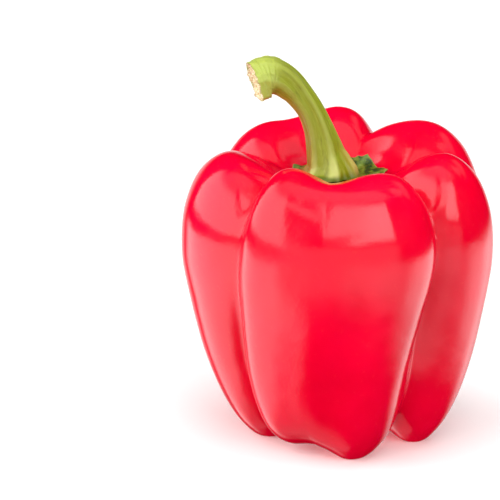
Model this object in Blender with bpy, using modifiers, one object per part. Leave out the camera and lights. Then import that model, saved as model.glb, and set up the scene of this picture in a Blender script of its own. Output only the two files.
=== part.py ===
"""A ripe red bell pepper standing on the tips of its lobes.

Three grown pieces: the lobed fruit, the green calyx that caps its crown, and
the curved stem that it was cut from. Units are metres and +Z is up. The stem
end is the top, the front is -Y, and azimuths are in degrees from the front
towards +X. The origin is on the surface the pepper stands on, under the middle
of its bounding box.
"""

import math

import bmesh
import bpy
import numpy as np

MM = 0.001

# Where the fruit's own axis stands, measured from the origin.
AXIS_X = 0.0 * MM
AXIS_Y = -0.6 * MM
# Grown pieces that touch keep this much air between their solids.
GAP = 0.35 * MM

# Rows up one meridian, from the blossom scar to the middle of the calyx seat, in
# millimetres: radius and height on a lobe's crest, then the same in a furrow.
MERIDIAN = (
    (0.0, 8.5, 0.0, 8.5),
    (7.5, 6.5, 7.0, 9.0),
    (14.5, 1.5, 13.5, 10.5),
    (21.5, -0.9, 19.5, 13.0),
    (28.0, 2.5, 25.0, 18.5),
    (34.0, 11.5, 30.0, 27.0),
    (38.9, 25.0, 34.0, 37.0),
    (42.5, 40.5, 37.0, 48.0),
    (44.8, 56.0, 38.5, 58.5),
    (44.0, 69.5, 37.5, 67.5),
    (39.5, 80.5, 33.5, 74.0),
    (32.0, 86.0, 27.5, 77.5),
    (24.0, 84.5, 21.5, 78.5),
    (17.5, 79.3, 16.0, 77.0),
    (11.5, 75.9, 11.0, 75.7),
    (0.0, 75.5, 0.0, 75.5),
)
# Each lobe: azimuth of its crest, its reach as a share of the meridian's radius,
# how many millimetres its crown and its foot are raised, and how many degrees it
# leans round the fruit, towards its left-hand neighbour, on the way down.
LOBES = (
    (-27.0, 0.985, 0.2, 2.8, 12.0),
    (21.0, 1.00, -1.0, 0.0, 16.0),
    (74.0, 1.015, -0.3, 0.0, 4.0),
    (125.0, 1.06, 2.6, 1.5, 2.0),
    (178.0, 1.00, 4.0, 0.0, 0.0),
    (215.0, 1.01, 1.0, 1.5, 0.0),
    (280.0, 1.00, -1.0, 0.0, 3.0),
)
# The furrow before each lobe: its azimuth, its depth at the crown, the brow, the
# shoulder, the waist and the foot as a share of the meridian's, and its rounding.
FURROWS = (
    (-46.5, 1.00, 0.98, 0.90, 0.85, 0.45, 0.10),
    (-6.0, 0.50, 0.18, 0.06, 0.05, 0.12, 0.45),
    (49.0, 1.15, 1.21, 1.44, 1.60, 0.70, 0.08),
    (94.0, 0.80, 0.79, 0.77, 0.75, 0.85, 0.10),
    (157.0, 0.72, 0.74, 0.80, 0.85, 0.90, 0.12),
    (200.0, 0.08, 0.08, 0.09, 0.10, 0.40, 0.40),
    (245.0, 0.90, 0.88, 0.80, 0.75, 0.85, 0.10),
)
SWELL = 0.8
FOOT_SHIFT_X = 3.0 * MM
# Growth lines run from the calyx to the blossom scar, and crowd into the furrows.
FURROW_CROWDING = 1.3
LINES_PER_LOBE = 10
FRUIT_RINGS = 44

# Each pointed tooth of the calyx: its azimuth, and how far its tip reaches from
# the calyx's own middle, which is a little left of the fruit's.
CALYX_X = -2.0 * MM
CALYX_TEETH = (
    (28.0, 12.5 * MM),
    (91.0, 16.6 * MM),
    (137.0, 16.6 * MM),
    (190.0, 14.0 * MM),
    (238.0, 12.3 * MM),
    (287.0, 12.0 * MM),
    (335.0, 11.5 * MM),
)
# The edge between two teeth draws in to this share of their reach, and each tip
# curls up by this much.
CALYX_WAIST = 0.90
CALYX_CURL = 0.9 * MM
CALYX_THICKNESS = 1.1 * MM
CALYX_TOOTH_STEPS = 8
CALYX_RINGS = 7

# Rows along the stem, in millimetres from the fruit's axis and the surface it
# stands on: x, y, z and the radius there. The last row is the cut end.
STEM_ROWS = (
    (-2.1, 0.0, 77.8, 9.0),
    (-2.1, 0.0, 79.2, 7.7),
    (-2.5, 0.0, 81.2, 6.3),
    (-3.2, 0.0, 83.4, 5.4),
    (-4.0, 0.0, 86.6, 4.7),
    (-5.3, -0.1, 91.0, 4.0),
    (-7.6, -0.5, 96.3, 3.6),
    (-11.0, -1.0, 101.2, 3.8),
    (-13.4, -1.5, 103.8, 4.2),
    (-16.6, -2.2, 106.1, 4.7),
    (-20.0, -2.9, 106.9, 5.5),
    (-23.6, -4.0, 105.8, 5.4),
)
STEM_RIBS = 6
STEM_RIB_DEPTH = 0.06
STEM_SIDES = 30
STEM_RINGS = 27

FRUIT_RED = (0.62, 0.006, 0.012, 1.0)
CALYX_GREEN = (0.045, 0.14, 0.02, 1.0)
STEM_GREEN = (0.30, 0.42, 0.06, 1.0)


def smooth_step(low, high, value):
    """0 before low, 1 past high, and a smooth rise between."""
    share = np.clip((value - low) / (high - low), 0.0, 1.0)
    return share * share * (3.0 - 2.0 * share)


def through(rows, place, before, after):
    """A smooth curve through rows, at places from 0 to 1, with a row beyond each end."""
    rows = np.vstack([before, rows, after])
    last = len(rows) - 4
    steps = np.clip(place, 0.0, 1.0) * (last + 1)
    first = np.minimum(steps.astype(int), last)
    t = (steps - first)[:, None]
    p0, p1, p2, p3 = (rows[first + k] for k in range(4))
    cubic = 3.0 * (p1 - p2) + p3 - p0
    square = 2.0 * p0 - 5.0 * p1 + 4.0 * p2 - p3
    return p1 + 0.5 * t * (p2 - p0 + t * (square + t * cubic))


def growth_line(turn):
    """Azimuth of a line of growth, turn counted in lobes, closer together in furrows."""
    stops = np.ravel([(furrow[0], lobe[0]) for furrow, lobe in zip(FURROWS, LOBES)])
    stops = np.append(stops, stops[0] + 360.0)
    half = np.clip(np.floor(2.0 * turn).astype(int), 0, len(stops) - 2)
    share = 2.0 * turn - half
    share = np.where(half % 2, 1.0 - (1.0 - share) ** FURROW_CROWDING, share**FURROW_CROWDING)
    return stops[half] + (stops[half + 1] - stops[half]) * share


def along_meridian(place):
    """The meridian's four columns at places from 0, the scar, to 1, the calyx seat."""
    rows = np.array(MERIDIAN) * MM
    other_side = np.array([-1.0, 1.0, -1.0, 1.0])
    return through(rows, place, rows[1] * other_side, rows[-2] * other_side).T


def around(azimuth, table):
    """The table's columns at an azimuth, easing from each row's azimuth to the next's."""
    rows = np.array(table)
    angles = np.append(rows[:, 0], rows[0, 0] + 360.0)
    turned = rows[0, 0] + (azimuth - rows[0, 0]) % 360.0
    before = np.clip(np.searchsorted(angles, turned, side="right") - 1, 0, len(rows) - 1)
    share = (turned - angles[before]) / (angles[before + 1] - angles[before])
    ease = smooth_step(0.0, 1.0, share)[:, None]
    after = (before + 1) % len(rows)
    return (rows[before] * (1.0 - ease) + rows[after] * ease).T[1:]


def swell_across(azimuth):
    """1 on the crest of a lobe, falling to 0 in the furrow at either side of it."""
    furrows = np.array(FURROWS + (FURROWS[0],))
    furrows[-1, 0] += 360.0
    turned = furrows[0, 0] + (azimuth - furrows[0, 0]) % 360.0
    lobe = np.clip(np.searchsorted(furrows[:, 0], turned, side="right") - 1, 0, len(LOBES) - 1)
    crest = np.array(LOBES)[lobe, 0]
    nearest = lobe + (turned > crest)
    inset = 1.0 - (turned - crest) / (furrows[nearest, 0] - crest)
    rounding = furrows[nearest, 6]
    inset = (np.hypot(inset, rounding) - rounding) / (np.hypot(1.0, rounding) - rounding)
    return (inset * (2.0 - inset)) ** SWELL


def furrow_depth(azimuth, place):
    """How deep the furrows are here, as a share of the meridian's."""
    crown, brow, shoulder, waist, foot, _ = around(azimuth, FURROWS)
    depth = waist + (foot - waist) * smooth_step(0.45, 0.25, place)
    depth += (shoulder - waist) * smooth_step(0.45, 0.59, place)
    depth += (brow - shoulder) * smooth_step(0.59, 0.67, place)
    return depth + (crown - brow) * smooth_step(0.67, 0.76, place)


def fruit_surface(azimuth, place):
    """Points of the skin, for arrays of places up growth lines and the lines' azimuths."""
    crest_r, crest_z, furrow_r, furrow_z = along_meridian(place)
    reach, crown, foot, lean = around(azimuth, LOBES)
    sunk = (1.0 - swell_across(azimuth)) * furrow_depth(azimuth, place)
    radius = crest_r + (furrow_r - crest_r) * sunk
    radius *= 1.0 + (reach - 1.0) * smooth_step(1.0, 0.7, place)
    near_crown = smooth_step(0.45, 0.72, place) * smooth_step(0.96, 0.80, place)
    near_foot = smooth_step(0.40, 0.22, place) * smooth_step(0.0, 0.12, place)
    height = crest_z + (furrow_z - crest_z) * sunk
    height += (crown * near_crown + foot * near_foot) * MM
    angle = np.radians(azimuth - lean * smooth_step(0.60, 0.25, place))
    x = AXIS_X + radius * np.sin(angle) + FOOT_SHIFT_X * smooth_step(0.6, 0.0, place)
    y = AXIS_Y - radius * np.cos(angle)
    # Where a foot would dip under the surface, it is pressed flat on it.
    return np.column_stack([x, y, np.maximum(height, 0.0)])


def crown_height(azimuth, radius):
    """The skin's height in the hollow of the crown, at one azimuth and radius."""
    place = np.linspace(0.75, 1.0, 60)
    x, y, z = fruit_surface(np.full_like(place, azimuth), place).T
    reach = np.hypot(x - AXIS_X, y - AXIS_Y)
    return float(np.interp(radius, reach[::-1], z[::-1]))


def paint(obj, name, colour, roughness):
    """Gives a piece its own plain material."""
    material = bpy.data.materials.new(name)
    material.use_nodes = True
    shader = material.node_tree.nodes["Principled BSDF"]
    shader.inputs["Base Color"].default_value = colour
    shader.inputs["Roughness"].default_value = roughness
    shader.inputs["Metallic"].default_value = 0.0
    obj.data.materials.append(material)


def piece_from(shape, name, pepper):
    """Turns a finished bmesh into a smooth-shaded object of the pepper."""
    mesh = bpy.data.meshes.new(name)
    shape.to_mesh(mesh)
    shape.free()
    mesh.shade_smooth()
    obj = bpy.data.objects.new(name, mesh)
    pepper.objects.link(obj)
    return obj


def make_fruit(pepper):
    """The lobed fruit, shaped from a sphere whose poles are the scar and the seat."""
    shape = bmesh.new()
    lines = len(LOBES) * LINES_PER_LOBE
    bmesh.ops.create_uvsphere(shape, u_segments=lines, v_segments=FRUIT_RINGS, radius=1.0)
    ball = np.array([vert.co for vert in shape.verts])
    line = np.round(np.arctan2(ball[:, 0], -ball[:, 1]) / (2.0 * math.pi) * lines) % lines
    place = np.arccos(np.clip(-ball[:, 2], -1.0, 1.0)) / math.pi
    points = fruit_surface(growth_line(line / LINES_PER_LOBE), place)
    for vert, point in zip(shape.verts, points):
        vert.co = point
    return piece_from(shape, "fruit", pepper)


def tooth_outline(turn):
    """Azimuth and reach of the calyx's edge, turn being counted in teeth from the first."""
    tooth = int(math.floor(turn))
    share = turn - tooth
    angle, reach = CALYX_TEETH[tooth % len(CALYX_TEETH)]
    next_angle, next_reach = CALYX_TEETH[(tooth + 1) % len(CALYX_TEETH)]
    azimuth = angle + ((next_angle - angle) % 360.0) * share
    notch = 1.0 - abs(2.0 * share - 1.0)
    reach = reach * (1.0 - share) + next_reach * share
    return azimuth, reach * (1.0 - (1.0 - CALYX_WAIST) * notch**0.7), 1.0 - notch


def make_calyx(pepper):
    """The toothed green cap, a thin leaf that lies on the hollow of the crown."""
    shape = bmesh.new()
    spoke = [shape.verts.new((ring / CALYX_RINGS, 0.0, 0.0)) for ring in range(CALYX_RINGS + 1)]
    for inner, outer in zip(spoke, spoke[1:]):
        shape.edges.new((inner, outer))
    bmesh.ops.spin(
        shape,
        geom=shape.verts[:] + shape.edges[:],
        axis=(0.0, 0.0, 1.0),
        angle=2.0 * math.pi,
        steps=len(CALYX_TEETH) * CALYX_TOOTH_STEPS,
        use_merge=True,
    )
    bmesh.ops.remove_doubles(shape, verts=shape.verts[:], dist=1e-5)
    for vert in shape.verts:
        share = vert.co.length
        turn = math.atan2(vert.co.y, vert.co.x) / (2.0 * math.pi) * len(CALYX_TEETH)
        azimuth, reach, tip = tooth_outline(round(turn * CALYX_TOOTH_STEPS) / CALYX_TOOTH_STEPS)
        angle = math.radians(azimuth)
        x = CALYX_X + share * reach * math.sin(angle)
        y = -share * reach * math.cos(angle)
        lift = CALYX_CURL * tip * max(0.0, share - 0.6) ** 2 / 0.16
        skin = crown_height(math.degrees(math.atan2(x, -y)), math.hypot(x, y))
        vert.co = (AXIS_X + x, AXIS_Y + y, skin + GAP + lift)
    bmesh.ops.recalc_face_normals(shape, faces=shape.faces[:])
    if sum(face.normal.z for face in shape.faces) < 0.0:
        bmesh.ops.reverse_faces(shape, faces=shape.faces[:])
    calyx = piece_from(shape, "calyx", pepper)
    leaf = calyx.modifiers.new("thickness", "SOLIDIFY")
    leaf.thickness = CALYX_THICKNESS
    leaf.offset = 1.0
    return calyx


def stem_surface(turn, along, share):
    """Points of the stem: turn round it, along it from 0 to 1, share of its radius."""
    rows = np.array(STEM_ROWS) * MM
    ends = (2.0 * rows[0] - rows[1], 2.0 * rows[-1] - rows[-2])
    middle = through(rows, along, *ends)
    ahead = (through(rows, along + 0.01, *ends) - through(rows, along - 0.01, *ends))[:, :3]
    ahead /= np.linalg.norm(ahead, axis=1)[:, None]
    left = np.cross(ahead, (0.0, 1.0, 0.0))
    left /= np.linalg.norm(left, axis=1)[:, None]
    front = np.cross(ahead, left)
    radius = middle[:, 3] * share * (1.0 + STEM_RIB_DEPTH * np.cos(STEM_RIBS * turn))
    spread = np.cos(turn)[:, None] * left + np.sin(turn)[:, None] * front
    return middle[:, :3] + (AXIS_X, AXIS_Y, 0.0) + radius[:, None] * spread


def make_stem(pepper):
    """The curved stem, shaped from a sphere whose poles are its base and its cut end."""
    shape = bmesh.new()
    bmesh.ops.create_uvsphere(shape, u_segments=STEM_SIDES, v_segments=STEM_RINGS, radius=1.0)
    ball = np.array([vert.co for vert in shape.verts])
    ring = np.arccos(np.clip(-ball[:, 2], -1.0, 1.0)) / math.pi * STEM_RINGS
    # The first ring is the base's edge, the last but one lies inside the cut face.
    along = np.clip((ring - 1.0) / (STEM_RINGS - 3.0), 0.0, 1.0)
    share = np.clip(np.minimum(ring, (STEM_RINGS - ring) / 2.0), 0.0, 1.0)
    points = stem_surface(np.arctan2(ball[:, 1], ball[:, 0]), along, share)
    for vert, point in zip(shape.verts, points):
        vert.co = point
    return piece_from(shape, "stem", pepper)


def main():
    for obj in list(bpy.data.objects):
        bpy.data.objects.remove(obj)
    pepper = bpy.data.collections.new("bell_pepper")
    bpy.context.scene.collection.children.link(pepper)
    paint(make_fruit(pepper), "fruit_skin", FRUIT_RED, 0.15)
    paint(make_calyx(pepper), "calyx_leaf", CALYX_GREEN, 0.45)
    paint(make_stem(pepper), "stem_green", STEM_GREEN, 0.40)


main()
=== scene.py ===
"""A ripe red bell pepper on a white table, under soft studio light.

Metres, +Z up. The stem end is the top, the front is -Y, and azimuths are in
degrees from the front towards +X, as in the part's own source.
"""

import math

import bmesh
import bpy
import numpy as np
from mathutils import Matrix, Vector, noise


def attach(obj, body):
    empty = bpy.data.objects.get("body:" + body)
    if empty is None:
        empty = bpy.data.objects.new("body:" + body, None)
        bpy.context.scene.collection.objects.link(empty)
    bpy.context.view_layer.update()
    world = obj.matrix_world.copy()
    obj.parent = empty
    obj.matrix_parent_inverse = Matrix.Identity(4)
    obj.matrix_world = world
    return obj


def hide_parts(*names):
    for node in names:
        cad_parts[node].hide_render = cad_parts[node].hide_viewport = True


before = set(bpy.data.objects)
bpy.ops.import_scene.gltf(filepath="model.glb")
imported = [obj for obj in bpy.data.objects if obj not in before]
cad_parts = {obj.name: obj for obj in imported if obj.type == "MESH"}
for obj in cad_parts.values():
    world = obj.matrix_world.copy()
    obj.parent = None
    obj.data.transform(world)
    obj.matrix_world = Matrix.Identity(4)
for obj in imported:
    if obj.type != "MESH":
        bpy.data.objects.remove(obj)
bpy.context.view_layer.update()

MM = 0.001

# Where the fruit's own axis stands, measured from the origin.
AXIS_X = 0.0 * MM
AXIS_Y = -0.6 * MM

# Rows up one meridian, from the blossom scar to the middle of the calyx seat, in
# millimetres: radius and height on a lobe's crest, then the same in a furrow.
MERIDIAN = (
    (0.0, 8.5, 0.0, 8.5),
    (7.5, 6.5, 7.0, 9.0),
    (14.5, 1.5, 13.5, 10.5),
    (21.5, -0.9, 19.5, 13.0),
    (28.0, 2.5, 25.0, 18.5),
    (34.0, 11.5, 30.0, 27.0),
    (38.9, 25.0, 34.0, 37.0),
    (42.5, 40.5, 37.0, 48.0),
    (44.8, 56.0, 38.5, 58.5),
    (44.0, 69.5, 37.5, 67.5),
    (39.5, 80.5, 33.5, 74.0),
    (32.0, 86.0, 27.5, 77.5),
    (24.0, 84.5, 21.5, 78.5),
    (17.5, 79.3, 16.0, 77.0),
    (11.5, 75.9, 11.0, 75.7),
    (0.0, 75.5, 0.0, 75.5),
)
# Each lobe: azimuth of its crest, its reach as a share of the meridian's radius,
# how many millimetres its crown and its foot are raised, and how many degrees it
# leans round the fruit, towards its left-hand neighbour, on the way down.
LOBES = (
    (-27.0, 0.985, 0.2, 2.8, 12.0),
    (21.0, 1.00, -1.0, 0.0, 16.0),
    (74.0, 1.015, -0.3, 0.0, 4.0),
    (125.0, 1.06, 2.6, 1.5, 2.0),
    (178.0, 1.00, 4.0, 0.0, 0.0),
    (215.0, 1.01, 1.0, 1.5, 0.0),
    (280.0, 1.00, -1.0, 0.0, 3.0),
)
# The furrow before each lobe: its azimuth, its depth at the crown, the brow, the
# shoulder, the waist and the foot as a share of the meridian's, and its rounding.
FURROWS = (
    (-46.5, 1.00, 0.98, 0.90, 0.85, 0.45, 0.10),
    (-6.0, 0.50, 0.18, 0.06, 0.05, 0.12, 0.45),
    (49.0, 1.15, 1.21, 1.44, 1.60, 0.70, 0.08),
    (94.0, 0.80, 0.79, 0.77, 0.75, 0.85, 0.10),
    (157.0, 0.72, 0.74, 0.80, 0.85, 0.90, 0.12),
    (200.0, 0.08, 0.08, 0.09, 0.10, 0.40, 0.40),
    (245.0, 0.90, 0.88, 0.80, 0.75, 0.85, 0.10),
)
SWELL = 0.8
FOOT_SHIFT_X = 3.0 * MM
# Growth lines run from the calyx to the blossom scar, and crowd into the furrows.
FURROW_CROWDING = 1.3
LINES_PER_LOBE = 56
FRUIT_RINGS = 236
# The skin's own unevenness: how wide its dents and its finer ripples are, how deep
# they go, and how far the whole of it is sunk, so that it hardly stands proud.
DENT_WIDTH = 21.0 * MM
DENT_DEPTH = 0.30 * MM
RIPPLE_WIDTH = 7.0 * MM
RIPPLE_DEPTH = 0.06 * MM
RELIEF_SUNK = 0.6 * DENT_DEPTH + RIPPLE_DEPTH
# Its unevenness fades out below this height over the table.
SMOOTH_FOOT = 3.0 * MM

# Each pointed tooth of the calyx: its azimuth, and how far its tip reaches from
# the calyx's own middle, which is a little left of the fruit's.
CALYX_X = -2.0 * MM
CALYX_TEETH = (
    (28.0, 12.5 * MM),
    (91.0, 16.6 * MM),
    (137.0, 16.6 * MM),
    (190.0, 14.0 * MM),
    (238.0, 12.3 * MM),
    (287.0, 12.0 * MM),
    (335.0, 11.5 * MM),
)
# How far the edge reaches between two teeth, as a share, and how far a tip curls up.
CALYX_WAIST = 0.90
CALYX_CURL = 0.9 * MM
CALYX_THICKNESS = 1.1 * MM
CALYX_GAP = 0.35 * MM
# Crinkles lift both faces of the leaf. Veins and lumps thicken its top alone, as
# shares of half its thickness, and a vein's width is a share of half a tooth's.
CALYX_CRINKLE = 0.45 * MM
CALYX_CRINKLE_WIDTH = 3.4 * MM
VEIN_RISE = 0.30
VEIN_WIDTH = 0.16
LUMP_RISE = 0.5
LUMP_WIDTH = 2.6 * MM
CALYX_TOOTH_STEPS = 40
CALYX_RINGS = 90

# Rows along the stem, in millimetres from the fruit's axis and the surface it
# stands on: x, y, z and the radius there. The last row is the cut end.
STEM_ROWS = (
    (-2.1, 0.0, 77.8, 9.0),
    (-2.1, 0.0, 79.2, 7.7),
    (-2.5, 0.0, 81.2, 6.3),
    (-3.2, 0.0, 83.4, 5.4),
    (-4.0, 0.0, 86.6, 4.7),
    (-5.3, -0.1, 91.0, 4.0),
    (-7.6, -0.5, 96.3, 3.6),
    (-11.0, -1.0, 101.2, 3.8),
    (-13.4, -1.5, 103.8, 4.2),
    (-16.6, -2.2, 106.1, 4.7),
    (-20.0, -2.9, 106.9, 5.5),
    (-23.6, -4.0, 105.8, 5.4),
)
STEM_RIBS = 6
STEM_RIB_DEPTH = 0.06
# Where the rib at the front starts, counted round from the left, and how far the
# ribs turn on their way up the stem.
STEM_RIB_TURN = math.radians(92.0)
STEM_TWIST = math.radians(60.0)
# The rest of the stem's relief, as shares of its radius: fine strands, broad lumps
# all over, more lumps and wrinkles on the head, and the lip that the cut left on
# the inner side of the bend.
STRANDS = 17.0
STRAND_DEPTH = 0.02
STEM_LUMP_DEPTH = 0.025
HEAD_LUMP_DEPTH = 0.05
HEAD_WRINKLE_DEPTH = 0.05
LIP_DEPTH = 0.15
STEM_SIDES = 168
STEM_RINGS = 300
# The cut face: how many of the last rings lie in it, how far it is sunk inside its
# rim, and how far its ragged rim, its pith and its fibres stand up.
CUT_RINGS = 40
CUT_SINK = 0.9 * MM
RIM_RISE = 0.8 * MM
PITH_RISE = 0.5 * MM
FIBRE_RISE = 0.25 * MM

# The camera: the photograph's angle, seen from far off, and the photograph's
# own scale and middle.
VIEW_ELEVATION = math.radians(16.5)
VIEW_DISTANCE = 0.75
VIEW_MIDDLE = Vector((-24.8, 0.0, 54.8)) * MM
VIEW_WIDTH = 144.0 * MM
SENSOR_WIDTH = 36.0


def smooth_step(low, high, value):
    """0 before low, 1 past high, and a smooth rise between."""
    share = np.clip((value - low) / (high - low), 0.0, 1.0)
    return share * share * (3.0 - 2.0 * share)


def through(rows, place, before, after):
    """A smooth curve through rows, at places from 0 to 1, with a row beyond each end."""
    rows = np.vstack([before, rows, after])
    last = len(rows) - 4
    steps = np.clip(place, 0.0, 1.0) * (last + 1)
    first = np.minimum(steps.astype(int), last)
    t = (steps - first)[:, None]
    p0, p1, p2, p3 = (rows[first + k] for k in range(4))
    cubic = 3.0 * (p1 - p2) + p3 - p0
    square = 2.0 * p0 - 5.0 * p1 + 4.0 * p2 - p3
    return p1 + 0.5 * t * (p2 - p0 + t * (square + t * cubic))


def growth_line(turn):
    """Azimuth of a line of growth, turn counted in lobes, closer together in furrows."""
    stops = np.ravel([(furrow[0], lobe[0]) for furrow, lobe in zip(FURROWS, LOBES)])
    stops = np.append(stops, stops[0] + 360.0)
    half = np.clip(np.floor(2.0 * turn).astype(int), 0, len(stops) - 2)
    share = 2.0 * turn - half
    share = np.where(half % 2, 1.0 - (1.0 - share) ** FURROW_CROWDING, share**FURROW_CROWDING)
    return stops[half] + (stops[half + 1] - stops[half]) * share


def along_meridian(place):
    """The meridian's four columns at places from 0, the scar, to 1, the calyx seat."""
    rows = np.array(MERIDIAN) * MM
    other_side = np.array([-1.0, 1.0, -1.0, 1.0])
    return through(rows, place, rows[1] * other_side, rows[-2] * other_side).T


def around(azimuth, table):
    """The table's columns at an azimuth, easing from each row's azimuth to the next's."""
    rows = np.array(table)
    angles = np.append(rows[:, 0], rows[0, 0] + 360.0)
    turned = rows[0, 0] + (azimuth - rows[0, 0]) % 360.0
    before = np.clip(np.searchsorted(angles, turned, side="right") - 1, 0, len(rows) - 1)
    share = (turned - angles[before]) / (angles[before + 1] - angles[before])
    ease = smooth_step(0.0, 1.0, share)[:, None]
    after = (before + 1) % len(rows)
    return (rows[before] * (1.0 - ease) + rows[after] * ease).T[1:]


def swell_across(azimuth):
    """1 on the crest of a lobe, falling to 0 in the furrow at either side of it."""
    furrows = np.array(FURROWS + (FURROWS[0],))
    furrows[-1, 0] += 360.0
    turned = furrows[0, 0] + (azimuth - furrows[0, 0]) % 360.0
    lobe = np.clip(np.searchsorted(furrows[:, 0], turned, side="right") - 1, 0, len(LOBES) - 1)
    crest = np.array(LOBES)[lobe, 0]
    nearest = lobe + (turned > crest)
    inset = 1.0 - (turned - crest) / (furrows[nearest, 0] - crest)
    rounding = furrows[nearest, 6]
    inset = (np.hypot(inset, rounding) - rounding) / (np.hypot(1.0, rounding) - rounding)
    return (inset * (2.0 - inset)) ** SWELL


def furrow_depth(azimuth, place):
    """How deep the furrows are here, as a share of the meridian's."""
    crown, brow, shoulder, waist, foot, _ = around(azimuth, FURROWS)
    depth = waist + (foot - waist) * smooth_step(0.45, 0.25, place)
    depth += (shoulder - waist) * smooth_step(0.45, 0.59, place)
    depth += (brow - shoulder) * smooth_step(0.59, 0.67, place)
    return depth + (crown - brow) * smooth_step(0.70, 0.77, place)


def fruit_surface(azimuth, place):
    """Points of the skin, for arrays of places up growth lines and the lines' azimuths."""
    crest_r, crest_z, furrow_r, furrow_z = along_meridian(place)
    reach, crown, foot, lean = around(azimuth, LOBES)
    sunk = (1.0 - swell_across(azimuth)) * furrow_depth(azimuth, place)
    radius = crest_r + (furrow_r - crest_r) * sunk
    radius *= 1.0 + (reach - 1.0) * smooth_step(1.0, 0.7, place)
    near_crown = smooth_step(0.45, 0.72, place) * smooth_step(0.96, 0.80, place)
    near_foot = smooth_step(0.40, 0.22, place) * smooth_step(0.0, 0.12, place)
    height = crest_z + (furrow_z - crest_z) * sunk
    height += (crown * near_crown + foot * near_foot) * MM
    angle = np.radians(azimuth - lean * smooth_step(0.60, 0.25, place))
    x = AXIS_X + radius * np.sin(angle) + FOOT_SHIFT_X * smooth_step(0.6, 0.0, place)
    y = AXIS_Y - radius * np.cos(angle)
    # Where a foot would dip under the surface, it is pressed flat on it.
    return np.column_stack([x, y, np.maximum(height, 0.0)])


def crown_heights(x, y):
    """The skin's height in the hollow of the crown, over points measured from the axis."""
    places = np.linspace(0.75, 1.0, 70)
    azimuth = np.degrees(np.arctan2(x, -y))
    column = fruit_surface(np.repeat(azimuth, len(places)), np.tile(places, len(azimuth)))
    column = column.reshape(len(azimuth), len(places), 3)
    reach = np.hypot(column[..., 0] - AXIS_X, column[..., 1] - AXIS_Y)
    wanted = np.hypot(x, y)
    inner = np.clip(np.sum(reach > wanted[:, None], axis=1), 1, len(places) - 1)
    row = np.arange(len(azimuth))
    step = reach[row, inner - 1] - reach[row, inner]
    share = np.clip((reach[row, inner - 1] - wanted) / np.maximum(step, 1e-9), 0.0, 1.0)
    return column[row, inner - 1, 2] * (1.0 - share) + column[row, inner, 2] * share


def noise_over(points, width, seed):
    """Smooth noise of about -1 to 1 at each point, its lumps about this wide."""
    shift = Vector((seed, 2.0 * seed, -seed))
    return np.array([noise.noise(Vector(point) / width + shift) for point in points])


def ball(lines, rings):
    """A sphere in bmesh, with each vertex's turn from -Y towards +X and place up it."""
    shape = bmesh.new()
    bmesh.ops.create_uvsphere(shape, u_segments=lines, v_segments=rings, radius=1.0)
    points = np.array([vert.co for vert in shape.verts])
    turn = np.arctan2(points[:, 0], -points[:, 1])
    place = np.arccos(np.clip(-points[:, 2], -1.0, 1.0)) / math.pi
    return shape, turn, place


def settle(shape, name, points, values, replaced):
    """Finishes a piece: its points, its measured values, smooth shading, and its place."""
    mesh = bpy.data.meshes.new(name)
    shape.to_mesh(mesh)
    shape.free()
    mesh.vertices.foreach_set("co", np.ravel(points))
    for key, value in values.items():
        kind, field = ("FLOAT_VECTOR", "vector") if np.ndim(value) == 2 else ("FLOAT", "value")
        layer = mesh.attributes.new(key, kind, "POINT")
        layer.data.foreach_set(field, np.ravel(value))
    mesh.update()
    mesh.shade_smooth()
    piece = bpy.data.objects.new(name, mesh)
    bpy.context.scene.collection.objects.link(piece)
    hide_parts(replaced)
    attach(piece, "root")
    return piece


def normals_of(shape, points):
    """Each vertex's normal once the shape's vertices have moved to these points."""
    for vert, point in zip(shape.verts, points):
        vert.co = point
    shape.normal_update()
    return np.array([vert.normal for vert in shape.verts])


def make_skin():
    """The fruit's skin: the lobes by formula, then its own dents and ripples."""
    lines = len(LOBES) * LINES_PER_LOBE
    shape, turn, place = ball(lines, FRUIT_RINGS)
    line = np.round(turn / (2.0 * math.pi) * lines) % lines
    azimuth = growth_line(line / LINES_PER_LOBE)
    points = fruit_surface(azimuth, place)
    normals = normals_of(shape, points)
    rough = smooth_step(1.0, 0.9, place) * smooth_step(0.0, SMOOTH_FOOT, points[:, 2])
    dents = noise_over(points, DENT_WIDTH, seed=3.1) * DENT_DEPTH
    ripples = noise_over(points, RIPPLE_WIDTH, seed=7.7) * RIPPLE_DEPTH
    relief = (dents + ripples - RELIEF_SUNK) * rough
    points = points + normals * relief[:, None]
    points[:, 2] = np.maximum(points[:, 2], 0.0)
    furrow = (1.0 - swell_across(azimuth)) * np.clip(furrow_depth(azimuth, place), 0.0, 1.0)
    values = {"furrow": furrow, "place": place}
    return settle(shape, "pepper_skin", points, values, "fruit")


def calyx_edge(turn):
    """Azimuth and reach of the calyx's edge, turn counted in teeth, and 1 at each tip."""
    teeth = np.array(CALYX_TEETH)
    tooth = np.floor(turn).astype(int) % len(teeth)
    after = (tooth + 1) % len(teeth)
    share = turn - np.floor(turn)
    step = (teeth[after, 0] - teeth[tooth, 0]) % 360.0
    notch = 1.0 - np.abs(2.0 * share - 1.0)
    reach = teeth[tooth, 1] * (1.0 - share) + teeth[after, 1] * share
    reach *= 1.0 - (1.0 - CALYX_WAIST) * notch**0.7
    return teeth[tooth, 0] + step * share, reach, 1.0 - notch


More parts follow.
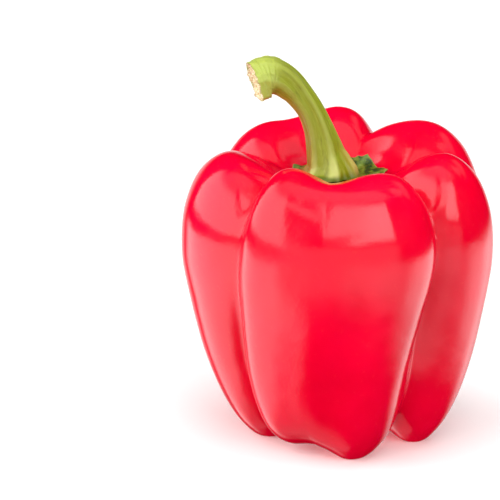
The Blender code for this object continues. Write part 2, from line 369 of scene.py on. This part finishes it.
def make_calyx():
    """The toothed cap: a thin leaf with rounded edges, veined, lumpy and curled at its tips."""
    steps = len(CALYX_TEETH) * CALYX_TOOTH_STEPS
    shape, turn, place = ball(steps, CALYX_RINGS)
    turn = (np.round(turn / (2.0 * math.pi) * steps) % steps) / CALYX_TOOTH_STEPS
    azimuth, reach, tip = calyx_edge(turn)
    share = np.sin(place * math.pi)
    side = np.sign(place - 0.5)
    body = np.sqrt(np.clip(1.0 - share**14, 0.0, 1.0))
    angle = np.radians(azimuth)
    x = CALYX_X + share * reach * np.sin(angle)
    y = -share * reach * np.cos(angle)
    lift = CALYX_CURL * tip * np.clip(share - 0.6, 0.0, 1.0) ** 2 / 0.16
    floor = crown_heights(x, y) + CALYX_GAP + lift
    vein = np.exp(-(((1.0 - tip) / VEIN_WIDTH) ** 2)) * smooth_step(0.35, 0.6, share)
    flat = np.column_stack([x, y, np.zeros_like(x)])
    lumps = 0.5 * noise_over(flat, LUMP_WIDTH, seed=1.3) * smooth_step(0.4, 0.6, share)
    crinkle = 1.0 - np.abs(noise_over(flat, CALYX_CRINKLE_WIDTH, seed=6.6)) * 3.0
    crinkle *= CALYX_CRINKLE * smooth_step(0.5, 0.8, share)
    half = 0.5 * CALYX_THICKNESS * body
    top = half * (1.0 + VEIN_RISE * vein + LUMP_RISE * lumps)
    z = floor + 0.5 * CALYX_THICKNESS + crinkle + np.where(side > 0.0, top, -half)
    points = np.column_stack([AXIS_X + x, AXIS_Y + y, z])
    values = {"share": share, "vein": vein}
    return settle(shape, "calyx_cap", points, values, "calyx")


def stem_frame(along):
    """Middle line of the stem, its radius, and the way ahead, left and front there."""
    rows = np.array(STEM_ROWS) * MM
    ends = (2.0 * rows[0] - rows[1], 2.0 * rows[-1] - rows[-2])
    middle = through(rows, along, *ends)
    ahead = (through(rows, along + 0.01, *ends) - through(rows, along - 0.01, *ends))[:, :3]
    ahead /= np.linalg.norm(ahead, axis=1)[:, None]
    left = np.cross(ahead, (0.0, 1.0, 0.0))
    left /= np.linalg.norm(left, axis=1)[:, None]
    return middle[:, :3] + (AXIS_X, AXIS_Y, 0.0), middle[:, 3], ahead, left, np.cross(ahead, left)


def make_stem():
    """The curved stem: its ribs, wrinkles and knobbly head, and its ragged cut end."""
    shape, turn, place = ball(STEM_SIDES, STEM_RINGS)
    turn = turn + 0.5 * math.pi
    ring = place * STEM_RINGS
    side_rings = STEM_RINGS - CUT_RINGS
    along = np.clip((ring - 1.0) / (side_rings - 1.0), 0.0, 1.0)
    share = np.clip(np.minimum(ring, (STEM_RINGS - ring) / CUT_RINGS), 0.0, 1.0)
    middle, radius, ahead, left, front = stem_frame(along)
    circle = np.column_stack([np.cos(turn), np.sin(turn), np.zeros_like(turn)])
    spread = circle[:, :1] * left + circle[:, 1:2] * front
    base = smooth_step(0.30, 0.0, along)
    head = smooth_step(0.78, 0.92, along)
    rib = np.cos(STEM_RIBS * (turn - STEM_RIB_TURN - STEM_TWIST * along))
    ribs = (STEM_RIB_DEPTH + 0.02 * base) * rib * (1.0 - 0.7 * head)
    strands = np.cos(STRANDS * turn + 1.2 * np.sin(3.0 * turn))
    strands *= STRAND_DEPTH * (0.4 + base)
    bend = circle * 1.6 + np.column_stack([np.zeros_like(along)] * 2 + [along * 9.0])
    lumps = STEM_LUMP_DEPTH * noise_over(bend, 1.0, seed=5.2)
    lumps += HEAD_LUMP_DEPTH * head * noise_over(bend * 1.7, 1.0, seed=9.1)
    wrinkles = HEAD_WRINKLE_DEPTH * head * noise_over(bend * (1.0, 1.0, 9.0), 1.0, seed=2.4)
    lip = LIP_DEPTH * smooth_step(0.82, 0.99, along) * smooth_step(0.3, 1.0, np.cos(turn))
    size = radius * (1.0 + ribs + strands + lumps + wrinkles + lip)
    inside = (share < 1.0) & (ring > side_rings)
    radial = circle * np.where(inside, share, 1.0)[:, None]
    rim = noise_over(radial * 5.0, 1.0, seed=4.4) * smooth_step(0.55, 0.9, share)
    out = RIM_RISE * rim + FIBRE_RISE * noise_over(radial * 14.0, 1.0, seed=8.8)
    out += PITH_RISE * smooth_step(0.35, 0.0, share) - CUT_SINK * smooth_step(0.95, 0.7, share)
    out = np.where(inside, out, 0.0)
    points = middle + spread * (size * share)[:, None] + ahead * out[:, None]
    cut = np.where(ring > side_rings, 1.0, 0.0)
    twisted = turn - STEM_TWIST * along
    grain = np.column_stack([np.cos(twisted), np.sin(twisted), along * 1.5])
    inner = np.cos(turn)
    values = {"cut": cut, "along": along, "grain": grain, "share": share}
    values.update({"rib": 0.5 + 0.5 * rib, "inner": inner, "flank": np.abs(inner)})
    return settle(shape, "stem_stalk", points, values, "stem")


class Finish:
    """A node material under construction: short ways to add and join its nodes."""

    def __init__(self, name):
        self.material = bpy.data.materials.new(name)
        self.material.use_nodes = True
        self.tree = self.material.node_tree
        self.shader = self.tree.nodes["Principled BSDF"]

    def add(self, kind, inputs=(), **settings):
        """A new node, with its settings made and its numbered or named inputs filled or joined."""
        made = self.tree.nodes.new(kind)
        for key, value in settings.items():
            setattr(made, key, value)
        for socket, value in dict(inputs).items():
            self.put(made.inputs[socket], value)
        return made

    def put(self, socket, value):
        """Fills one input: with another node's output, or with a plain value."""
        if isinstance(value, bpy.types.NodeSocket):
            self.tree.links.new(value, socket)
        else:
            socket.default_value = value

    def give(self, name, value):
        """Fills one of the surface's own inputs."""
        self.put(self.shader.inputs[name], value)

    def own(self, name, field="Fac"):
        """One of the piece's measured values."""
        return self.add("ShaderNodeAttribute", attribute_name=name).outputs[field]

    def speckle(self, where, scale, detail=3.0, roughness=0.5):
        """Cloudy noise over a position."""
        inputs = {"Vector": where, "Scale": scale, "Detail": detail, "Roughness": roughness}
        return self.add("ShaderNodeTexNoise", inputs).outputs["Fac"]

    def spread(self, value, low, high, to_low=0.0, to_high=1.0):
        """A value eased from one range to another."""
        inputs = {0: value, 1: low, 2: high, 3: to_low, 4: to_high}
        made = self.add("ShaderNodeMapRange", inputs, interpolation_type="SMOOTHSTEP")
        return made.outputs[0]

    def blend(self, share, first, second):
        """One colour laid over another by a share."""
        made = self.add("ShaderNodeMix", data_type="RGBA")
        self.put(made.inputs[0], share)
        self.put(made.inputs[6], first)
        self.put(made.inputs[7], second)
        return made.outputs[2]

    def plus(self, first, second):
        """Two values added."""
        return self.add("ShaderNodeMath", {0: first, 1: second}, operation="ADD").outputs[0]

    def times(self, first, second):
        """Two values multiplied."""
        return self.add("ShaderNodeMath", {0: first, 1: second}, operation="MULTIPLY").outputs[0]

    def relief(self, height, depth, strength=1.0, under=None):
        """A bump of this depth in metres, over another where there is one."""
        inputs = {"Height": height, "Distance": depth, "Strength": strength}
        if under is not None:
            inputs["Normal"] = under
        return self.add("ShaderNodeBump", inputs).outputs["Normal"]

    def here(self):
        """Object coordinates."""
        return self.add("ShaderNodeTexCoord").outputs["Object"]


# The finishes' colours in linear light: red, green, blue, and fully opaque.
DEEP_RED = (0.68, 0.0003, 0.019, 1.0)
RIPE_RED = (0.80, 0.0006, 0.028, 1.0)
# The darker red that is painted into the furrows as shade.
FURROW_SHADE_RED = (0.52, 0.0003, 0.013, 1.0)
FLECK_RED = (0.95, 0.10, 0.05, 1.0)
DARK_CORK = (0.10, 0.045, 0.02, 1.0)
PALE_CORK = (0.35, 0.22, 0.11, 1.0)
DARK_LEAF = (0.014, 0.040, 0.004, 1.0)
PALE_LEAF = (0.14, 0.185, 0.014, 1.0)
LEAF_VEIN = (0.20, 0.30, 0.06, 1.0)
LEAF_EDGE = (0.25, 0.28, 0.08, 1.0)
OLIVE_STEM = (0.195, 0.215, 0.006, 1.0)
GREEN_STEM = (0.225, 0.275, 0.018, 1.0)
PALE_STREAK = (0.36, 0.42, 0.07, 1.0)
DARK_STREAK = (0.11, 0.12, 0.006, 1.0)
STEM_RIDGE = (0.44, 0.50, 0.14, 1.0)
INNER_FLUSH = (0.32, 0.16, 0.03, 1.0)
FLANK_BLUSH = (0.38, 0.20, 0.04, 1.0)
STEM_HEAD = (0.37, 0.44, 0.08, 1.0)
# Painted shade for the foot of the stem, where it curves under against the calyx.
STEM_FOOT_SHADE = (0.07, 0.10, 0.005, 1.0)
BROWN_FIBRE = (0.42, 0.26, 0.11, 1.0)
CREAM_FIBRE = (0.85, 0.74, 0.50, 1.0)
DRY_BARK = (0.20, 0.12, 0.06, 1.0)


def pepper_skin_finish():
    """Waxy, glossy red, darkened in the furrows by painted shade, with a corky blossom scar."""
    paint = Finish("waxy_red_skin")
    here = paint.here()
    cloud = paint.spread(paint.speckle(here, scale=38.0), 0.35, 0.7)
    red = paint.blend(cloud, DEEP_RED, RIPE_RED)
    # Painted shade: the red is darkened in the furrows, more where they are deeper.
    red = paint.blend(paint.times(paint.own("furrow"), 0.35), red, FURROW_SHADE_RED)
    flecks = paint.spread(paint.speckle(here, scale=900.0, detail=1.0), 0.66, 0.74)
    red = paint.blend(paint.times(flecks, 0.05), red, FLECK_RED)
    scar = paint.spread(paint.own("place"), 0.035, 0.022)
    cork = paint.blend(paint.speckle(here, scale=700.0), DARK_CORK, PALE_CORK)
    paint.give("Base Color", paint.blend(scar, red, cork))
    gloss = paint.spread(paint.speckle(here, scale=60.0), 0.3, 0.7, to_low=0.11, to_high=0.15)
    paint.give("Roughness", paint.plus(gloss, paint.times(scar, 0.5)))
    grain = paint.relief(paint.speckle(here, scale=1100.0, detail=2.0), depth=0.00002)
    pores = paint.speckle(here, scale=160.0, detail=2.0)
    paint.give("Normal", paint.relief(pores, depth=0.00007, under=grain))
    paint.give("IOR", 1.46)
    paint.give("Subsurface Weight", 0.12)
    paint.give("Subsurface Radius", (1.0, 0.12, 0.06))
    paint.give("Subsurface Scale", 0.003)
    return paint.material


def calyx_finish():
    """Leathery dark green, paler along its veins and at its worn edge."""
    paint = Finish("leathery_green_calyx")
    here = paint.here()
    mottle = paint.speckle(here, scale=420.0, detail=4.0, roughness=0.65)
    green = paint.blend(paint.spread(mottle, 0.40, 0.62), DARK_LEAF, PALE_LEAF)
    green = paint.blend(paint.times(paint.own("vein"), 0.5), green, LEAF_VEIN)
    edge = paint.spread(paint.own("share"), 0.965, 0.995)
    paint.give("Base Color", paint.blend(paint.times(edge, 0.7), green, LEAF_EDGE))
    paint.give("Roughness", 0.42)
    bumps = paint.speckle(here, scale=900.0, detail=4.0)
    paint.give("Normal", paint.relief(bumps, depth=0.0005, strength=0.8))
    return paint.material


def stem_finish():
    """Yellow-green, streaked along its length, with a dry, pale, fibrous cut end."""
    paint = Finish("streaked_green_stem")
    here = paint.here()
    grain = paint.own("grain", "Vector")
    along = paint.own("along")
    inner = paint.own("inner")
    streak = paint.speckle(grain, scale=6.0, detail=4.0, roughness=0.6)
    broad = paint.speckle(grain, scale=1.7, detail=2.0)
    green = paint.blend(paint.spread(broad, 0.38, 0.62), OLIVE_STEM, GREEN_STEM)
    green = paint.blend(paint.spread(streak, 0.52, 0.75, to_high=0.5), green, PALE_STREAK)
    green = paint.blend(paint.spread(streak, 0.46, 0.28, to_high=0.6), green, DARK_STREAK)
    # The ridges are palest low on the stem, and the flanks there are a little red.
    paler = paint.spread(along, 0.42, 0.12, to_low=0.25, to_high=0.85)
    ridge = paint.times(paint.spread(paint.own("rib"), 0.45, 1.0), paler)
    green = paint.blend(ridge, green, STEM_RIDGE)
    green = paint.blend(paint.spread(inner, 0.55, 0.95, to_high=0.55), green, INNER_FLUSH)
    flank = paint.spread(paint.own("flank"), 0.7, 0.95)
    blush = paint.times(flank, paint.spread(along, 0.4, 0.2))
    green = paint.blend(paint.times(blush, 0.4), green, FLANK_BLUSH)
    green = paint.blend(paint.spread(along, 0.78, 0.93, to_high=0.85), green, STEM_HEAD)
    # Painted shade: the stem's foot is darkened where it curves under against the calyx.
    green = paint.blend(paint.spread(along, 0.10, 0.03, to_high=0.9), green, STEM_FOOT_SHADE)
    cut = paint.own("cut")
    fibres = paint.speckle(here, scale=1500.0, detail=4.0, roughness=0.7)
    cream = paint.blend(paint.spread(fibres, 0.35, 0.65), BROWN_FIBRE, CREAM_FIBRE)
    # Bark rings the cut, and is darkest on the outer side of the bend.
    bark = paint.spread(paint.own("share"), 0.86, 0.98)
    bark = paint.times(bark, paint.spread(inner, 0.2, -0.8, to_low=0.45, to_high=0.9))
    cream = paint.blend(bark, cream, DRY_BARK)
    paint.give("Base Color", paint.blend(cut, green, cream))
    paint.give("Roughness", paint.plus(paint.times(cut, 0.4), 0.38))
    strands = paint.relief(streak, depth=0.0003, strength=0.5)
    pores = paint.speckle(here, scale=1300.0)
    paint.give("Normal", paint.relief(pores, depth=0.00008, under=strands))
    paint.give("Specular IOR Level", 0.35)
    paint.give("Subsurface Weight", 0.08)
    paint.give("Subsurface Radius", (0.6, 1.0, 0.2))
    paint.give("Subsurface Scale", 0.0015)
    return paint.material


# The studio as the pepper sees it: soft boxes, white table and backdrop. Each is
# a patch of light between two azimuths and two elevations, in degrees, with how
# far its sides, its foot and its top fade, how bright it is, and how many degrees
# its sides lean to the right for each degree up from its foot.
SOFT_LIGHTS = (
    ("front box", 8.0, 37.0, 11.0, 55.0, 2.2, 3.0, 7.0, 4.2, 0.0),
    ("left half of the front box", -13.0, 8.0, 23.0, 58.0, 2.2, 5.0, 7.0, 3.0, 0.0),
    ("dim foot of the front box", -13.0, 10.0, 5.0, 22.0, 2.2, 3.0, 5.0, 0.45, 0.0),
    ("left box", -126.0, -32.6, 2.0, 54.0, 2.4, 2.5, 12.0, 3.0, 0.13),
    ("top corner of the left box", -27.0, -16.5, 39.0, 47.0, 1.5, 2.0, 3.0, 1.8, 0.13),
    ("left horizon", -85.0, -30.0, -8.0, 2.0, 5.0, 3.0, 3.0, 0.36, 0.0),
    ("table in front", -34.0, 42.0, -28.0, 6.0, 8.0, 11.0, 3.0, 0.85, 0.0),
    ("table in front of the right side", 8.0, 52.0, -32.0, -9.0, 8.0, 6.0, 4.0, 0.65, 0.0),
    ("table at the left", -135.0, -36.0, -38.0, -8.5, 10.0, 6.0, 2.5, 2.8, 0.0),
    ("near table at the left", -155.0, -61.0, -55.0, -38.0, 11.0, 12.0, 6.0, 2.4, 1.2),
    ("table at the right", 58.0, 140.0, -36.0, -11.0, 26.0, 7.0, 4.0, 3.1, 0.0),
    ("table below", -150.0, -52.0, -120.0, -50.0, 20.0, 1.0, 14.0, 0.5, 0.0),
    ("overhead", -100.0, 60.0, 60.0, 88.0, 12.0, 6.0, 4.0, 0.9, 0.0),
    ("upper wall at the right", 88.0, 114.0, 48.0, 65.0, 4.0, 4.0, 5.0, 0.8, 0.0),
    ("dim wall at the right", 104.0, 145.0, 34.0, 50.0, 5.0, 4.0, 4.0, 0.5, 0.0),
    ("backdrop", 150.0, 210.0, -30.0, 6.0, 8.0, 12.0, 6.0, 0.9, 0.0),
)
# Broad lamps that fill the pepper's hollows and have no glint: where each stands,
# how wide it is and its power.
FILLS = (
    ("fill_above", (0.15, 0.0, 0.9), 0.9, 5.2),
    ("fill_right", (0.75, -0.45, 0.35), 0.6, 2.1),
)
STUDIO_WHITE = (1.0, 0.98, 0.97, 1.0)
PURE_WHITE = (1.0, 1.0, 1.0, 1.0)
# The table is a light table: this much of its white is its own.
TABLE_GLOW = 0.10
TABLE_WHITE = (0.90, 0.90, 0.90, 1.0)
TABLE_RADIUS = 4.0


def make_studio():
    """A world of soft boxes round the pepper, and plain white behind it for the camera."""
    world = bpy.data.worlds.new("studio")
    bpy.context.scene.world = world
    world.use_nodes = True
    tree = world.node_tree
    tree.nodes.clear()

    def add(kind, values=(), **settings):
        made = tree.nodes.new(kind)
        for key, value in settings.items():
            setattr(made, key, value)
        for index, value in enumerate(values):
            if isinstance(value, bpy.types.NodeSocket):
                tree.links.new(value, made.inputs[index])
            else:
                made.inputs[index].default_value = value
        return made.outputs[0]

    def calc(operation, *values):
        return add("ShaderNodeMath", values, operation=operation)

    def ease(value, low, high):
        ends = (value, low, high, 0.0, 1.0)
        return add("ShaderNodeMapRange", ends, interpolation_type="SMOOTHSTEP")

    direction = add("ShaderNodeTexCoord")
    parts = tree.nodes.new("ShaderNodeSeparateXYZ")
    tree.links.new(direction, parts.inputs[0])
    x, y, z = parts.outputs
    degrees = math.degrees(1.0)
    azimuth = calc("MULTIPLY", calc("ARCTAN2", x, calc("MULTIPLY", y, -1.0)), degrees)
    elevation = calc("MULTIPLY", calc("ARCSINE", z), degrees)
    light = 0.0
    for _, left, right, low, high, side_fade, foot_fade, top_fade, bright, lean in SOFT_LIGHTS:
        side = 0.5 * (right - left)
        middle = calc("MULTIPLY_ADD", elevation, lean, left + side - low * lean)
        across = calc("ABSOLUTE", calc("WRAP", calc("SUBTRACT", azimuth, middle), 180.0, -180.0))
        sides = ease(across, side + side_fade, side - side_fade)
        foot = ease(elevation, low - foot_fade, low + foot_fade)
        top = ease(elevation, high + top_fade, high - top_fade)
        patch = calc("MULTIPLY", calc("MULTIPLY", sides, foot), top)
        light = calc("MULTIPLY_ADD", patch, bright, light)
    studio = add("ShaderNodeBackground", (STUDIO_WHITE, light))
    backdrop = add("ShaderNodeBackground", (PURE_WHITE, 1.0))
    seen = tree.nodes.new("ShaderNodeLightPath").outputs["Is Camera Ray"]
    surface = add("ShaderNodeMixShader", (seen, studio, backdrop))
    output = tree.nodes.new("ShaderNodeOutputWorld")
    tree.links.new(surface, output.inputs["Surface"])


def make_floor():
    """The white table top, which glows softly."""
    shape = bmesh.new()
    bmesh.ops.create_circle(shape, cap_ends=True, segments=128, radius=TABLE_RADIUS)
    mesh = bpy.data.meshes.new("table_top")
    shape.to_mesh(mesh)
    shape.free()
    floor = bpy.data.objects.new("table_top", mesh)
    bpy.context.scene.collection.objects.link(floor)
    paint = Finish("white_table")
    paint.give("Base Color", TABLE_WHITE)
    paint.give("Roughness", 0.7)
    paint.give("Emission Color", PURE_WHITE)
    paint.give("Emission Strength", TABLE_GLOW)
    mesh.materials.append(paint.material)
    # The table's own glow on the pepper comes from the soft lights below the horizon.
    floor.visible_glossy = False
    floor.visible_diffuse = False
    floor.visible_shadow = False


def make_fill(name, place, size, power):
    """A round soft lamp that faces the pepper."""
    lamp = bpy.data.lights.new(name, "AREA")
    lamp.shape = "DISK"
    lamp.size = size
    lamp.energy = power
    holder = bpy.data.objects.new(name, lamp)
    bpy.context.scene.collection.objects.link(holder)
    holder.location = place
    holder.rotation_mode = "QUATERNION"
    holder.rotation_quaternion = (-Vector(place)).to_track_quat("-Z", "Y")
    holder.visible_glossy = False


def make_camera():
    """The photograph's view: its angle, its scale and its middle."""
    camera = bpy.data.cameras.new("camera")
    camera.sensor_width = SENSOR_WIDTH
    camera.lens = SENSOR_WIDTH * VIEW_DISTANCE / VIEW_WIDTH
    holder = bpy.data.objects.new("camera", camera)
    bpy.context.scene.collection.objects.link(holder)
    towards = Vector((0.0, -math.cos(VIEW_ELEVATION), math.sin(VIEW_ELEVATION)))
    holder.location = VIEW_MIDDLE + towards * VIEW_DISTANCE
    holder.rotation_mode = "QUATERNION"
    holder.rotation_quaternion = (-towards).to_track_quat("-Z", "Y")
    bpy.context.scene.camera = holder


make_skin().data.materials.append(pepper_skin_finish())
make_calyx().data.materials.append(calyx_finish())
make_stem().data.materials.append(stem_finish())
make_floor()
make_studio()
for fill in FILLS:
    make_fill(*fill)
make_camera()
bpy.context.scene.view_settings.view_transform = "Standard"
